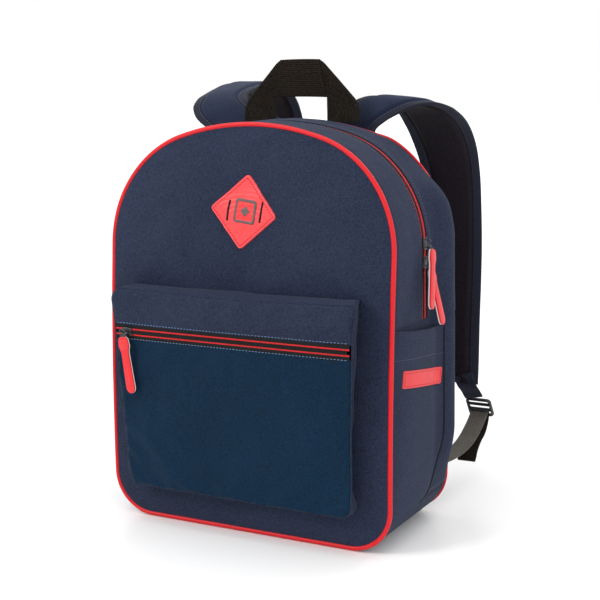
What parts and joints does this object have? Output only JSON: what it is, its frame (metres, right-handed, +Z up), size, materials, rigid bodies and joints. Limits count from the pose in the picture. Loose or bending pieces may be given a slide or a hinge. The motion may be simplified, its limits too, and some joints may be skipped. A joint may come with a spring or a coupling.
{
  "type": "school backpack",
  "caption": "Small school backpack with a zipped arched compartment whose front folds down, a front zip pocket, side pockets, a grab handle and padded shoulder straps.",
  "frame": {"origin": "centre of the base panel's flat underside", "axes": "+Z up along the bag's height, -Y out of the front pocket, +Y out of the back panel towards the shoulder straps, +X to the right seen from the front"},
  "size_m": [0.3375, 0.3282, 0.4614],
  "materials": {
    "navy_fabric": "woven polyester, matt",
    "navy_coated": "coated woven polyester, satin",
    "strap_mesh": "padded spacer mesh",
    "back_mesh": "padded spacer mesh",
    "piping_red": "satin vinyl piping",
    "zip_tape": "woven zip tape with red edge stripes",
    "zip_coil": "moulded nylon coil",
    "slider_metal": "black lacquered zinc",
    "pull_rubber": "moulded soft rubber",
    "patch_coral": "moulded patch, stitched on",
    "emblem_grey": "raised blank emblem",
    "label_red": "woven label",
    "elastic_black": "knitted elastic",
    "lining_grey": "light taffeta lining",
    "foam_grey": "closed-cell foam sheet",
    "stiffener_black": "flat sheet",
    "webbing_dark": "ribbed webbing",
    "webbing_grey": "ribbed webbing",
    "lock_black": "moulded nylon"
  },
  "bodies": {
    "root": {"front_panel_lower": "navy_fabric", "front_piping_lower": "piping_red", "rear_gusset": "navy_fabric", "side_panel_right": "navy_fabric", "side_panel_left": "navy_fabric", "base_panel": "navy_fabric", "base_stiffener": "stiffener_black", "lining_sides": "lining_grey", "lining_back": "lining_grey", "back_panel": "back_mesh", "back_foam": "foam_grey", "back_piping": "piping_red", "zip_tape_rear": "zip_tape", "zip_coil_rear": "zip_coil", "zip_end_right": "zip_tape", "zip_end_left": "zip_tape", "front_pocket_panel": "navy_coated", "front_pocket_top": "navy_fabric", "front_pocket_gusset": "navy_fabric", "pocket_zip_tape_top": "zip_tape", "pocket_zip_tape_low": "zip_tape", "pocket_zip_coil_top": "zip_coil", "pocket_zip_coil_low": "zip_coil", "side_pocket_right": "navy_fabric", "side_pocket_left": "navy_fabric", "side_pocket_elastic_right": "elastic_black", "side_pocket_elastic_left": "elastic_black", "side_label": "label_red", "adjuster_webbing_right": "webbing_grey", "adjuster_webbing_left": "webbing_grey", "webbing_anchor_right": "navy_fabric", "webbing_anchor_left": "navy_fabric"},
    "front_flap": {"front_flap_panel": "navy_fabric", "front_piping_upper": "piping_red", "front_gusset": "navy_fabric", "zip_tape_front": "zip_tape", "zip_coil_front": "zip_coil", "diamond_patch": "patch_coral", "patch_emblem": "emblem_grey"},
    "main_upper_slider": {"main_upper_slider": "slider_metal"},
    "main_upper_pull": {"main_upper_pull_ring": "slider_metal", "main_upper_pull_grip": "pull_rubber"},
    "main_lower_slider": {"main_lower_slider": "slider_metal"},
    "main_lower_pull": {"main_lower_pull_ring": "slider_metal", "main_lower_pull_grip": "pull_rubber"},
    "pocket_slider": {"pocket_slider": "slider_metal"},
    "pocket_pull": {"pocket_pull_ring": "slider_metal", "pocket_pull_grip": "pull_rubber"},
    "grab_handle": {"grab_handle": "webbing_dark"},
    "strap_right": {"shoulder_strap_right": "strap_mesh", "strap_end_tab_right": "navy_fabric"},
    "strap_left": {"shoulder_strap_left": "strap_mesh", "strap_end_tab_left": "navy_fabric"},
    "lock_right": {"ladder_lock_right": "lock_black", "webbing_tail_right": "webbing_dark"},
    "lock_left": {"ladder_lock_left": "lock_black", "webbing_tail_left": "webbing_dark"}
  },
  "joints": [
    {"name": "front_fold", "type": "hinge", "parent": "root", "child": "front_flap", "pos_m": [0, -0.05861, 0.2484], "axis": [1, 0, 0], "range_deg": [0, 85]},
    {"name": "main_upper_zip", "type": "hinge", "parent": "root", "child": "main_upper_slider", "pos_m": [0.045, 0.014, 0.2834], "axis": [0, -1, 0], "range_deg": [0, 66]},
    {"name": "main_upper_pull_lift", "type": "hinge", "parent": "main_upper_slider", "child": "main_upper_pull", "pos_m": [0.16281, 0.014, 0.28526], "axis": [0, -1, 0], "range_deg": [0, 22]},
    {"name": "main_lower_zip", "type": "slide", "parent": "root", "child": "main_lower_slider", "axis": [0, 0, -1], "range_m": [0, 0.03]},
    {"name": "main_lower_pull_lift", "type": "hinge", "parent": "main_lower_slider", "child": "main_lower_pull", "pos_m": [0.1628, 0.014, 0.26705], "axis": [0, -1, 0], "range_deg": [0, 9]},
    {"name": "pocket_zip", "type": "slide", "parent": "root", "child": "pocket_slider", "axis": [1, 0, 0], "range_m": [0, 0.235]},
    {"name": "pocket_pull_swing", "type": "hinge", "parent": "pocket_slider", "child": "pocket_pull", "pos_m": [-0.12135, -0.0968, 0.1994], "axis": [0, -1, 0], "range_deg": [-60, 20]},
    {"name": "handle_fold", "type": "hinge", "parent": "root", "child": "grab_handle", "pos_m": [0, 0.063, 0.4024], "axis": [1, 0, 0], "range_deg": [-45, 75]},
    {"name": "strap_right_swing", "type": "hinge", "parent": "root", "child": "strap_right", "pos_m": [0.06, 0.072, 0.3874], "axis": [1, 0, 0], "range_deg": [-3, 10]},
    {"name": "strap_left_swing", "type": "hinge", "parent": "root", "child": "strap_left", "pos_m": [-0.06, 0.072, 0.3874], "axis": [1, 0, 0], "range_deg": [-3, 10]},
    {"name": "lock_right_tilt", "type": "hinge", "parent": "strap_right", "child": "lock_right", "pos_m": [0.141, 0.19307, 0.0888], "axis": [1, 0, 0], "range_deg": [0, 35]},
    {"name": "lock_left_tilt", "type": "hinge", "parent": "strap_left", "child": "lock_left", "pos_m": [-0.141, 0.19307, 0.0888], "axis": [1, 0, 0], "range_deg": [0, 35]}
  ]
}
